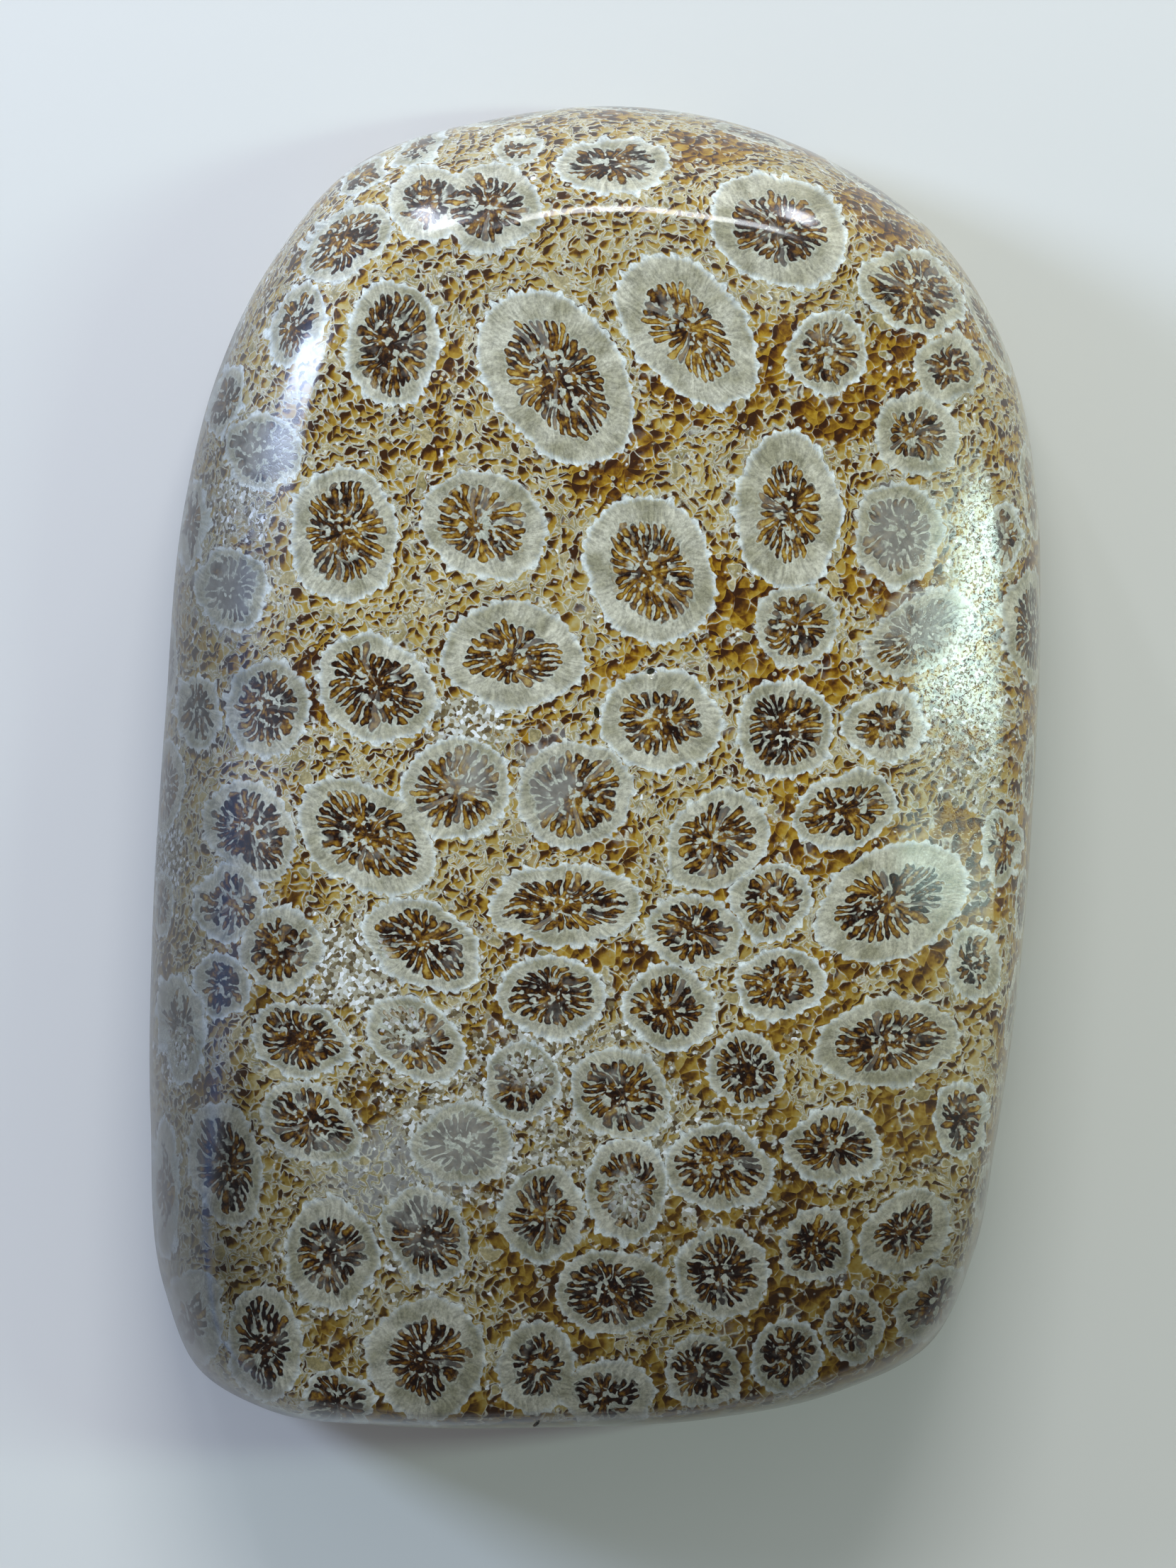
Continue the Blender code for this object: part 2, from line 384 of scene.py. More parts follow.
# %% Taking the bites
# The middle of each bite, its three half sizes, and its turn about Z in degrees.
BITES = [
    ((-20.4, -35.9, 12.6), (0.55, 0.60, 3.0), 32.0),
    ((-6.0, -37.6, 14.8), (1.90, 0.95, 1.9), 3.0),
    ((-3.6, -37.2, 15.4), (0.16, 1.30, 2.4), -28.0),
    ((-2.2, -37.6, 14.6), (0.60, 0.60, 1.6), 10.0),
    ((11.2, -36.6, 14.0), (0.50, 0.60, 1.8), -18.0),
    ((0.14, 2.88, 18.35), (0.16, 0.34, 0.55), 6.0),
    ((3.10, 5.15, 18.35), (0.24, 0.17, 0.50), 25.0),
]
bm = bmesh.new()
for middle, half_sizes, turn in BITES:
    move = Matrix.Translation(Vector(middle) * MM)
    spin = Euler((0.0, 0.0, math.radians(turn))).to_matrix().to_4x4()
    stretch = Matrix.Diagonal((*(Vector(half_sizes) * MM), 1.0))
    bmesh.ops.create_icosphere(bm, subdivisions=3, radius=1.0, matrix=move @ spin @ stretch)
bite_mesh = bpy.data.meshes.new("bites")
bm.to_mesh(bite_mesh)
bm.free()
bites = bpy.data.objects.new("bites", bite_mesh)
bpy.context.scene.collection.objects.link(bites)
cut = stone.modifiers.new("bites", "BOOLEAN")
cut.operation = "DIFFERENCE"
cut.object = bites
cut.use_self = True
bpy.context.view_layer.objects.active = stone
bpy.ops.object.modifier_apply(modifier=cut.name)
bpy.data.objects.remove(bites, do_unlink=True)
stone_mesh = stone.data
stone_mesh.shade_smooth()
print("faces after the bites:", len(stone_mesh.polygons))

# %% [markdown]
# ## Where the corallites are
#
# A coral head is a bundle of tubes, the corallites, and each tube housed one polyp. A polished cut shows
# each tube's section: a cream ring with a flower of thin blades inside. The places could be scattered at
# random, but the tubes of one particular stone are its likeness, so those of the front are listed one by
# one. Each row gives the middle, the two half widths of the ring's outer edge, the lean of its first axis
# in degrees, how much of the ring is mouth, and a tone from dark brown (0) to amber (1). They are measured
# looking down from the camera, in the plane of the girdle.

# %% The corallites of the front
CORALLITES = [
    (-9.8, 34.8, 1.6, 0.8, 30, 0.62, 0.3),
    (-13.0, 33.2, 1.6, 0.9, 40, 0.70, 0.5),
    (-9.4, 31.9, 2.2, 2.2, 0, 0.68, 0.2),
    (-5.9, 31.5, 2.9, 2.5, 0, 0.74, 0.2),
    (1.0, 33.9, 3.2, 1.7, 0, 0.74, 0.3),
    (-4.3, 34.8, 1.4, 1.0, 0, 0.60, 0.4),
    (10.4, 30.3, 4.0, 3.2, -25, 0.65, 0.3),
    (18.0, 26.8, 3.1, 2.3, -20, 0.78, 0.5),
    (13.1, 23.2, 2.3, 2.5, 0, 0.72, 0.6),
    (-11.4, 23.9, 2.7, 3.6, 0, 0.78, 0.1),
    (-2.1, 21.9, 5.6, 3.8, -55, 0.67, 0.6),
    (5.3, 24.6, 5.0, 3.2, -50, 0.62, 0.8),
    (18.2, 18.7, 2.4, 2.4, 0, 0.68, 0.5),
    (20.0, 22.5, 2.0, 2.0, 0, 0.60, 0.5),
    (10.9, 14.4, 3.1, 4.5, 0, 0.63, 0.6),
    (17.2, 13.2, 2.5, 2.9, 0, 0.72, 0.5),
    (-14.2, 13.1, 3.1, 3.8, 0, 0.72, 0.4),
    (-6.3, 13.6, 3.8, 3.0, -20, 0.70, 0.7),
    (3.2, 11.0, 4.4, 3.6, -70, 0.66, 0.6),
    (-4.6, 6.2, 4.0, 3.1, -5, 0.62, 0.5),
    (-12.4, 4.4, 3.5, 2.9, -35, 0.76, 0.3),
    (-18.6, 17.7, 2.2, 2.2, 0, 0.77, 0.0),
    (-20.8, 20.6, 1.0, 2.1, -15, 0.70, 0.2),
    (-14.1, 29.5, 3.0, 1.7, 37, 0.76, 0.3),
    (-16.8, 24.8, 1.6, 2.6, -20, 0.70, 0.2),
    (-22.7, 13.7, 1.0, 2.6, -5, 0.70, 0.2),
    (-20.5, 9.9, 2.0, 2.5, 0, 0.75, 0.0),
    (-22.3, 3.1, 1.4, 2.2, 0, 0.72, 0.1),
    (-18.4, 3.3, 2.4, 2.8, 0, 0.73, 0.3),
    (-19.4, -3.7, 3.1, 2.4, -60, 0.78, 0.3),
    (-12.8, -4.0, 4.2, 2.9, -30, 0.74, 0.4),
    (-7.8, -1.3, 3.1, 2.9, 0, 0.76, 0.6),
    (-1.1, -1.6, 3.3, 3.1, 0, 0.75, 0.5),
    (3.8, 2.5, 3.4, 3.0, 0, 0.66, 0.5),
    (10.7, 2.0, 2.9, 2.9, 0, 0.75, 0.2),
    (11.4, 7.9, 2.4, 2.3, 0, 0.72, 0.4),
    (18.3, 7.4, 3.4, 2.1, 33, 0.78, 0.5),
    (16.5, 2.3, 2.4, 2.2, 0, 0.65, 0.4),
    (6.9, -4.2, 3.2, 2.6, 35, 0.72, 0.6),
    (14.2, -2.5, 3.1, 2.1, 20, 0.73, 0.5),
    (16.8, -7.7, 4.6, 3.1, 25, 0.66, 0.4),
    (21.5, -11.2, 1.6, 2.2, 0, 0.70, 0.5),
    (-1.6, -7.9, 4.3, 2.3, 0, 0.76, 0.5),
    (5.5, -9.4, 2.7, 2.1, 0, 0.76, 0.3),
    (9.9, -7.7, 2.3, 2.2, 0, 0.74, 0.5),
    (10.4, -12.3, 2.6, 2.1, 0, 0.73, 0.5),
    (4.2, -13.7, 2.7, 2.5, 0, 0.74, 0.3),
    (16.5, -15.6, 4.1, 2.5, 8, 0.72, 0.5),
    (8.6, -17.2, 2.4, 2.2, 0, 0.79, 0.1),
    (1.5, -18.5, 3.0, 2.5, -25, 0.77, 0.3),
    (13.6, -21.5, 2.9, 2.2, 5, 0.76, 0.3),
    (7.0, -22.7, 3.1, 2.4, -20, 0.77, 0.4),
    (-2.4, -13.0, 3.0, 2.4, 0, 0.75, 0.2),
    (-9.7, -10.1, 3.6, 2.4, -30, 0.76, 0.3),
    (-16.6, -15.4, 2.9, 2.2, -25, 0.78, 0.2),
    (-10.1, -15.4, 3.1, 2.1, -35, 0.74, 0.4),
    (-23.3, -14.8, 1.4, 3.1, 8, 0.68, 0.2),
    (-16.0, -20.2, 3.2, 2.1, -35, 0.78, 0.1),
    (-20.8, -22.4, 3.6, 2.2, -75, 0.72, 0.1),
    (-7.5, -21.4, 2.9, 2.4, 0, 0.75, 0.9),
    (-4.1, -17.8, 2.2, 2.4, 0, 0.72, 0.3),
    (-14.9, -27.6, 2.7, 3.1, 0, 0.70, 0.1),
    (-9.5, -26.5, 3.0, 2.3, -55, 0.78, 0.1),
    (-2.9, -25.3, 2.5, 2.7, 0, 0.73, 0.3),
    (1.9, -23.9, 2.4, 3.0, 0, 0.70, 0.4),
    (1.1, -29.8, 3.3, 2.5, 0, 0.75, 0.1),
    (7.2, -28.6, 2.6, 2.6, 0, 0.76, 0.1),
    (12.5, -27.0, 2.1, 2.2, 0, 0.74, 0.3),
    (17.6, -26.3, 2.8, 2.2, 35, 0.66, 0.4),
    (19.2, -30.3, 2.5, 1.8, 50, 0.65, 0.3),
    (14.6, -31.7, 1.7, 2.1, 0, 0.72, 0.1),
    (10.9, -33.3, 2.1, 2.1, 0, 0.75, 0.1),
    (6.1, -34.3, 2.2, 2.1, 0, 0.76, 0.1),
    (0.7, -35.5, 2.8, 1.9, 0, 0.62, 0.1),
    (-3.2, -34.0, 2.3, 2.6, 0, 0.66, 0.1),
    (-9.5, -33.5, 3.3, 3.6, 0, 0.66, 0.1),
    (-18.6, -32.7, 2.2, 3.2, 0, 0.74, 0.0),
    (-14.5, -35.9, 2.0, 1.8, 0, 0.78, 0.0),
    (-22.8, -31.2, 1.9, 2.7, 0, 0.45, 0.2),
    (-24.2, -23.8, 0.9, 4.0, 0, 0.50, 0.2),
    (23.0, -4.5, 1.1, 2.2, 0, 0.72, 0.5),
    (23.0, 12.9, 1.2, 1.9, 0, 0.72, 0.5),
    (20.8, -20.0, 1.6, 2.2, 0, 0.72, 0.4),
    (-20.6, -7.8, 2.0, 2.2, 0, 0.70, 0.4),
    (-17.7, -10.3, 2.3, 2.3, 0, 0.70, 0.4),
    (-21.0, -12.4, 1.6, 1.9, 0, 0.70, 0.3),
]
print("corallites placed by hand:", len(CORALLITES))

# %% [markdown]
# ## Tubes, not stickers
#
# Each corallite is kept as a tube in space: a middle on the surface, an axis, and two half widths across
# it. Wherever the stone's surface cuts the tube it shows that tube's section, so a ring that runs over a
# rounded shoulder stretches as a real one does. The front's tubes all point at the camera. The sides and
# the back get tubes of the same sizes that stand square to the surface, dropped one by one wherever a
# point picked at random, with a fixed seed, leaves room for another ring.

# %% Reading the mesh
def read_all(items, name, width=3, kind=np.float64):
    """What the mesh keeps under a name for each item, with one row for an item."""
    values = np.empty(len(items) * width, dtype=kind)
    items.foreach_get(name, values)
    return values.reshape(-1, width) if width > 1 else values


SURFACE = read_all(stone_mesh.vertices, "co") / MM
NORMALS = read_all(stone_mesh.vertices, "normal")
print("mesh points:", len(SURFACE))

# %% Tubes of the front
# A tube's row holds where its middle is, its axis, the two directions across it, its two half widths, how
# much of it is mouth, its tone, a seed for its random draws, and how far it runs along its axis.
MIDDLE, AXIS, FIRST, SECOND = [slice(start, start + 3) for start in (0, 3, 6, 9)]
FIRST_HALF, SECOND_HALF, MOUTH, TONE, SEED_OF_TUBE, REACH = range(12, 18)
SEED_STEP = 1.7
FRONT_REACH, SIDE_REACH = 4.5, 2.5  # millimetres
LOOKS_UP = 0.05  # the least upward part of a normal that the camera sees
EYE = np.array([CAMERA_X, CAMERA_Y, CAMERA_HEIGHT])
tubes = []


def seen(points):
    """Where the camera's line of sight to each point crosses the girdle's plane."""
    share = (CAMERA_HEIGHT - GIRDLE_HEIGHT) / (CAMERA_HEIGHT - points[..., 2])
    return EYE[:2] + (points[..., :2] - EYE[:2]) * share[..., None]


def unit(vector):
    """The vector's direction, with a length of one."""
    return vector / np.linalg.norm(vector)


def add_tube(middle, axis, first, half_widths, mouth, tone, reach):
    """Adds one corallite's row."""
    seed = len(tubes) * SEED_STEP
    tubes.append((*middle, *axis, *first, *np.cross(axis, first), *half_widths, mouth, tone, seed, reach))


front_points = SURFACE[NORMALS[:, 2] > LOOKS_UP]
front_seen = seen(front_points)
for x, y, first_half, second_half, lean, mouth, tone in CORALLITES:
    found = np.argmin(np.hypot(front_seen[:, 0] - x, front_seen[:, 1] - y))
    height = front_points[found, 2]
    shrink = (CAMERA_HEIGHT - height) / (CAMERA_HEIGHT - GIRDLE_HEIGHT)
    middle = (EYE[0] + (x - EYE[0]) * shrink, EYE[1] + (y - EYE[1]) * shrink, height)
    axis = unit(EYE - middle)
    turned = np.array([math.cos(math.radians(lean)), math.sin(math.radians(lean)), 0.0])
    first = unit(turned - axis * turned.dot(axis))
    add_tube(middle, axis, first, (first_half * shrink, second_half * shrink), mouth, tone, FRONT_REACH)
print("tubes of the front:", len(tubes))

# %% Tubes of the sides and the back
SEED = 11
RANDOM = np.random.default_rng(SEED)
ROOM = 0.55  # millimetres of vesicles left between two rings
SHORTEST, LONGEST = 2.1, 3.7  # half widths
ROUNDEST, NARROWEST_RING = 1.0, 0.72  # the second half width over the first
LOOKS_ASIDE = 0.30  # the most upward part of a normal on the sides
SIDES_BELOW = 12.5  # millimetres over the back
TRIES = 9000
hidden = np.flatnonzero((NORMALS[:, 2] < LOOKS_ASIDE) & (SURFACE[:, 2] < SIDES_BELOW))
for vertex in RANDOM.permutation(hidden)[:TRIES]:
    half = RANDOM.uniform(SHORTEST, LONGEST)
    taken = np.array(tubes)
    apart = np.linalg.norm(taken[:, MIDDLE] - SURFACE[vertex], axis=1)
    widest = taken[:, [FIRST_HALF, SECOND_HALF]].max(axis=1)
    if (apart < half + ROOM + widest).any():
        continue
    axis = unit(NORMALS[vertex])
    first = unit(np.cross(axis, RANDOM.normal(size=3)))
    half_widths = (half, half * RANDOM.uniform(NARROWEST_RING, ROUNDEST))
    mouth, tone = RANDOM.uniform(0.66, 0.78), RANDOM.uniform(0.0, 0.7)
    add_tube(SURFACE[vertex], axis, first, half_widths, mouth, tone, SIDE_REACH)
TUBES = np.array(tubes)
print("corallites in all:", len(TUBES))

# %% [markdown]
# ## Telling the shader which tube it is in
#
# The shader needs to know, at each point, where it stands in the nearest tube. Those coordinates could be
# stored at the mesh's points, but two neighbouring tubes would blur into each other across a square. So
# they are stored at face corners: each face chooses its nearest and second nearest tube, and its corners
# hold their place in both. The shader then takes the nearer one at every pixel, which gives a clean edge.

# %% A place in a tube
TINY = 1e-6  # keeps a division at the very middle from failing
BATCHES = 60  # so that the table of points by tubes fits in memory


def place_in_tubes(points, chosen):
    """u and v across the chosen tubes (1 at the ring's edge), and how many millimetres outside the ring."""
    offset = points - chosen[..., MIDDLE]
    first_half, second_half = chosen[..., FIRST_HALF], chosen[..., SECOND_HALF]
    u = (offset * chosen[..., FIRST]).sum(axis=-1) / first_half
    v = (offset * chosen[..., SECOND]).sum(axis=-1) / second_half
    along = np.abs((offset * chosen[..., AXIS]).sum(axis=-1))
    beyond = np.maximum(along - chosen[..., REACH], 0.0)
    out = np.maximum(np.hypot(u, v), TINY)
    radius = out / np.maximum(np.hypot(u / first_half, v / second_half), TINY)
    stretch = 1 + beyond / (radius * out)
    return u * stretch, v * stretch, (out * stretch - 1) * radius


def two_nearest(points):
    """The row of the nearest and of the second nearest tube to each point."""
    found = []
    for part in np.array_split(points, BATCHES):
        gap = place_in_tubes(part[:, None, :], TUBES[None, :, :])[2]
        found.append(np.argpartition(gap, 1, axis=1)[:, :2])
    return np.concatenate(found)


def store(name, columns, domain):
    """Keeps three numbers for each face corner or mesh point under a name that the shader can read."""
    layer = stone_mesh.attributes.new(name, "FLOAT_VECTOR", domain)
    layer.data.foreach_set("vector", np.stack(columns, axis=-1).astype(np.float32).ravel())


# %% Local coordinates at the face corners
nearest = two_nearest(read_all(stone_mesh.polygons, "center") / MM)
corner_vertex = read_all(stone_mesh.loops, "vertex_index", 1, np.int32)
sides = read_all(stone_mesh.polygons, "loop_total", 1, np.int32)
corner_face = np.repeat(np.arange(len(sides)), sides)
for rank, name in enumerate(("near", "next")):
    chosen = TUBES[nearest[corner_face, rank]]
    u, v, _ = place_in_tubes(SURFACE[corner_vertex], chosen)
    half_widths = chosen[:, [FIRST_HALF, SECOND_HALF]]
    store(name + "_tube", (u, v, chosen[:, SEED_OF_TUBE]), "CORNER")
    store(name + "_sizes", (*half_widths.T, np.ones(len(u))), "CORNER")
    store(name + "_facts", (half_widths.mean(axis=1), chosen[:, MOUTH], chosen[:, TONE]), "CORNER")
print("face corners with coordinates:", len(corner_vertex))

# %% [markdown]
# ## Clouds, crystals and dull spots
#
# Chalcedony isn't even. Here and there it is clouded grey, an open pocket has filled with white sugary
# quartz, or the polish hasn't taken and the surface is pitted. These places follow no rule, so they are
# listed one by one, and each mesh point learns how deep it lies in one. Noise frays their edges later on.

# %% Patches of the front
# The middle of each patch, its half widths, and how clouded, how sugary and how dull it is.
PATCHES = [
    (-11.4, -23.0, 3.4, 2.6, 0.9, 0.1, 0.2),
    (-7.5, -21.4, 2.5, 2.1, 1.0, 0.4, 0.1),
    (-13.8, -11.2, 3.0, 2.4, 0.2, 0.9, 0.6),
    (-10.8, -14.8, 2.2, 1.8, 0.3, 0.7, 0.4),
    (-3.4, -16.6, 2.4, 2.0, 0.2, 0.8, 0.4),
    (-7.2, 2.4, 2.0, 1.5, 0.1, 0.7, 0.3),
    (1.9, -24.4, 1.6, 2.4, 0.2, 0.7, 0.2),
    (-23.4, -16.0, 1.2, 1.8, 0.3, 0.8, 0.5),
    (-20.2, 14.6, 1.6, 2.0, 0.5, 0.5, 0.6),
    (-24.0, -5.0, 1.0, 2.0, 0.4, 0.8, 0.8),
    (17.2, 13.2, 2.0, 2.4, 0.8, 0.0, 0.1),
    (-18.6, 17.7, 2.0, 2.0, 0.8, 0.0, 0.1),
    (-20.5, 9.9, 2.0, 2.4, 0.8, 0.0, 0.1),
    (18.8, 8.0, 2.6, 1.8, 0.7, 0.0, 0.2),
    (-2.6, -1.0, 1.7, 2.2, 0.7, 0.1, 0.1),
    (-7.0, -0.4, 1.5, 1.4, 0.6, 0.1, 0.1),
    (21.2, 2.4, 3.2, 4.6, 0.3, 0.3, 1.0),
    (22.2, 13.6, 1.8, 3.6, 0.3, 0.2, 0.9),
    (-4.5, -18.5, 9.0, 6.0, 0.1, 0.44, 0.2),
    (4.0, -23.0, 6.0, 4.0, 0.0, 0.42, 0.1),
    (-13.0, -28.5, 5.0, 3.6, 0.2, 0.36, 0.1),
]
FADES_OUT = 1.5  # times the half widths
strengths = np.zeros((3, len(SURFACE)))
seen_from_eye = seen(SURFACE)
for x, y, half_across, half_along, *cloud_sugar_dull in PATCHES:
    out = np.hypot((seen_from_eye[:, 0] - x) / half_across, (seen_from_eye[:, 1] - y) / half_along)
    depth = np.clip(FADES_OUT - out, 0, 1) * (SURFACE[:, 2] > GIRDLE_HEIGHT)
    strengths = np.maximum(strengths, np.outer(cloud_sugar_dull, depth))
store("patches", strengths, "POINT")
print("mesh points in a patch:", int((strengths.sum(axis=0) > 0).sum()))

# %% [markdown]
# ## The finish: agatised coral
#
# The material is chalcedony, a quartz of IOR 1.54, polished on felt with a fine oxide, so it is glossy like
# glass but for pinholes. Everything else about it is colour: cream walls of replaced skeleton, brown to
# amber chalcedony in the cells, a darker square end, and painted shade on the left side, at the lower right
# corner and in the bubbles. The colours are worked out in the order in which one meets them, from the place
# in the tube to the rings, the flowers, and the vesicles between.

# %% Start of the material
agatised_coral = bpy.data.materials.new("agatised_coral")
agatised_coral.use_nodes = True
tree = agatised_coral.node_tree
shader = tree.nodes["Principled BSDF"]
shader.inputs["IOR"].default_value = 1.54
shader.inputs["Metallic"].default_value = 0.0
stone_mesh.materials.clear()
stone_mesh.materials.append(agatised_coral)

# Object coordinates in millimetres, so that every scale below is per millimetre.
metres = add("TexCoord").outputs["Object"]
place = add("VectorMath", (metres, (1 / MM, 1 / MM, 1 / MM)), operation="MULTIPLY")
spot = add("SeparateXYZ", (place,))
patch = add("SeparateXYZ", (add("Attribute", attribute_name="patches").outputs["Vector"],))
cloud_here, sugar_here, dull_here = patch.outputs


def tell(step):
    """Prints how far the finish has come."""
    print(step + ":", len(tree.nodes), "nodes so far")


tell("start")

# %% [markdown]
# ### The nearer tube
#
# A slow noise shifts the coordinates by up to a quarter of a millimetre, because no coral grows true
# ellipses. Both stored tubes are shifted alike, and the nearer of the two is kept. Distances are in
# millimetres along the radius, so the ring is as wide at the ends of a long corallite as at its sides.

# %% Choosing the tube
DRIFT = 0.55  # millimetres from one extreme of the shift to the other
FLAT = (1.0, 1.0, 0.0)  # drops a tube coordinate's third part, its seed
drift = add("TexNoise", {"Vector": place, "Scale": 0.42, "Detail": 1.0})
drift = add("VectorMath", (drift.outputs["Color"], (0.5, 0.5, 0.5)), operation="SUBTRACT")
drift = add("VectorMath", (drift, (DRIFT * 2, DRIFT * 2, 0.0)), operation="MULTIPLY")

candidates = []
for name in ("near", "next"):
    stored = [add("Attribute", attribute_name=name + kind) for kind in ("_tube", "_sizes", "_facts")]
    raw, sizes, facts = [attribute.outputs["Vector"] for attribute in stored]
    shift = add("VectorMath", (drift, sizes), operation="DIVIDE")
    moved = add("VectorMath", (raw, shift), operation="ADD")
    level = add("VectorMath", (moved, FLAT), operation="MULTIPLY")
    out = add("VectorMath", (level,), operation="LENGTH")
    steepness = add("VectorMath", (level, sizes), operation="DIVIDE")
    steepness = add("VectorMath", (steepness,), operation="LENGTH")
    radius = add("Math", (out, steepness), operation="DIVIDE")
    beyond = add("Math", (out, 1.0), operation="SUBTRACT")
    gap = add("Math", (beyond, radius), operation="MULTIPLY")
    candidates.append({"tube": moved, "sizes": sizes, "facts": facts, "radius": radius, "gap": gap})

near, far = candidates
swap = add("Math", (near["gap"], far["gap"]), operation="GREATER_THAN")
tube_here, sizes_here, facts_here = [
    add("Mix", (swap, near[kind], far[kind]), data_type="VECTOR") for kind in ("tube", "sizes", "facts")
]
local_radius = add("Mix", (swap, near["radius"], far["radius"]), data_type="FLOAT")
gap = add("Math", (near["gap"], far["gap"]), operation="MINIMUM")  # millimetres outside the ring
tell("the nearer tube")

# %% Where the ring and the mouth are
NARROWEST = 0.4  # of the radius, the least that a thick ring leaves for the mouth
across = add("SeparateXYZ", (tube_here,))
seed = across.outputs["Z"]
mean_radius, mouth_share, tone = add("SeparateXYZ", (facts_here,)).outputs
mean_mouth = add("Math", (mean_radius, mouth_share), operation="MULTIPLY")
ring_width = add("Math", (mean_radius, mean_mouth), operation="SUBTRACT")
mouth_radius = add("Math", (local_radius, ring_width), operation="SUBTRACT")
narrowest = add("Math", (local_radius, NARROWEST), operation="MULTIPLY")
mouth_radius = add("Math", (mouth_radius, narrowest), operation="MAXIMUM")
from_middle = add("Math", (gap, local_radius), operation="ADD")  # millimetres
mouth_depth = add("Math", (from_middle, mouth_radius), operation="DIVIDE")  # 0 middle, 1 at the ring
tell("ring and mouth")

# %% [markdown]
# ### Septa
#
# The blades inside a corallite are its septa. They stand about half a millimetre apart round the mouth.
# Every second one is a long primary that runs well in towards the middle, and those between are short, so
# the dark chambers come in pairs that fork outwards. The bearing round the tube is counted in septa: the
# whole number is a septum's name, which draws its own random length, and the rest is the way to it.
# The count sways a little, and more towards the middle, where the blades grew crooked.

# %% Counting septa round the mouth
SEPTUM_SPACING = 0.52
PI = math.pi
pairs = add("Math", (mean_mouth, PI / SEPTUM_SPACING), operation="MULTIPLY")
pairs = add("Math", (pairs,), operation="ROUND")
septa = add("Math", (pairs, 2.0), operation="MULTIPLY")
bearing = add("Math", (across.outputs["Y"], across.outputs["X"]), operation="ARCTAN2")
bearing = add("Math", (bearing, 1 / (2 * PI)), operation="MULTIPLY")
sway = add("TexNoise", {"Vector": tube_here, "Scale": 2.6, "Detail": 1.0})
sway = add("Math", (sway, 0.5), operation="SUBTRACT")
sway_strength = add("MapRange", (mouth_depth, 0.15, 0.85, 3.4, 1.3))
sway = add("Math", (sway, sway_strength), operation="MULTIPLY")
count = add("Math", (bearing, septa, sway), operation="MULTIPLY_ADD")
tell("count of septa")

# %% Random draws for septa and chambers
whole_number = add("Math", (count,), operation="ROUND")
aside = add("Math", (count, whole_number), operation="SUBTRACT")
aside = add("Math", (aside,), operation="ABSOLUTE")  # 0 on a septum, a half between two
short = add("Math", (whole_number, 2.0), operation="FLOORED_MODULO")  # 1 for every second septum
septum = add("Math", (whole_number, septa), operation="FLOORED_MODULO")
luck = add("TexWhiteNoise", {"Vector": add("CombineXYZ", (septum, seed))}, noise_dimensions="2D")
chamber = add("Math", (add("Math", (count,), operation="FLOOR"), septa), operation="FLOORED_MODULO")
chamber = add("CombineXYZ", (chamber, add("Math", (seed, 0.37), operation="ADD")))
chamber_luck = add("TexWhiteNoise", {"Vector": chamber}, noise_dimensions="2D")
chamber_tint = add("SeparateColor", (chamber_luck.outputs["Color"],))
tell("random draws")

# %% [markdown]
# ### Chambers with round ends
#
# Between two septa lies a chamber, which ends at the ring in a round tip like a finger's. A finger is the
# set of points within half its width of a line, so its outline is one distance: sideways from the
# chamber's middle line and, past the tip's centre, outwards as well. The septa thicken towards the ring.

# %% Spacing of the septa
level_here = add("VectorMath", (tube_here, FLAT), operation="MULTIPLY")
direction = add("SeparateXYZ", (level_here,))
crosswise = add("CombineXYZ", (direction.outputs["Y"], direction.outputs["X"]))
crosswise = add("VectorMath", (crosswise,), operation="NORMALIZE")
mouth_sizes = add("VectorMath", (sizes_here, ring_width), operation="SUBTRACT")
spacing = add("VectorMath", (mouth_sizes, crosswise), operation="MULTIPLY")
spacing = add("VectorMath", (spacing,), operation="LENGTH")
spacing = add("Math", (spacing, mouth_depth), operation="MULTIPLY")
angle = add("Math", (2 * PI, septa), operation="DIVIDE")
spacing = add("Math", (spacing, angle), operation="MULTIPLY")  # millimetres between two septa here
tell("spacing")

# %% The fingers
THIN_SEPTUM, THICK_SEPTUM = 0.045, 0.07  # half thicknesses in millimetres
TIP_BACK, TIP_SPREAD = 0.38, 0.36  # millimetres from the ring to a tip's centre, and how much that varies
septum_half = add("MapRange", (mouth_depth, 0.5, 1.0, THIN_SEPTUM, THICK_SEPTUM))
to_septum = add("Math", (aside, spacing), operation="MULTIPLY")
# A finger's half width, and the way to its middle line, are each half the spacing less something.
finger_half, sideways = [
    add("Math", (spacing, 0.5, add("Math", (less, -1.0), operation="MULTIPLY")), operation="MULTIPLY_ADD")
    for less in (septum_half, to_septum)
]
tip = add("Math", (mouth_radius, TIP_BACK), operation="SUBTRACT")
tip = add("Math", (chamber_luck, TIP_SPREAD, tip), operation="MULTIPLY_ADD")
past_tip = add("Math", (from_middle, tip), operation="SUBTRACT")
past_tip = add("Math", (past_tip, 0.0), operation="MAXIMUM")
finger = add("VectorMath", (add("CombineXYZ", (sideways, past_tip)),), operation="LENGTH")
finger = add("Math", (finger, finger_half), operation="SUBTRACT")  # under 0 inside a chamber
knobbly = add("TexNoise", {"Vector": place, "Scale": 2.8, "Detail": 1.0})
knobbly = add("Math", (knobbly, 0.5), operation="SUBTRACT")
finger = add("Math", (knobbly, 0.30, finger), operation="MULTIPLY_ADD")
wall_of_finger = add("MapRange", (finger, -0.02, 0.035, 0.0, 1.0), **SMOOTH)
tell("fingers")

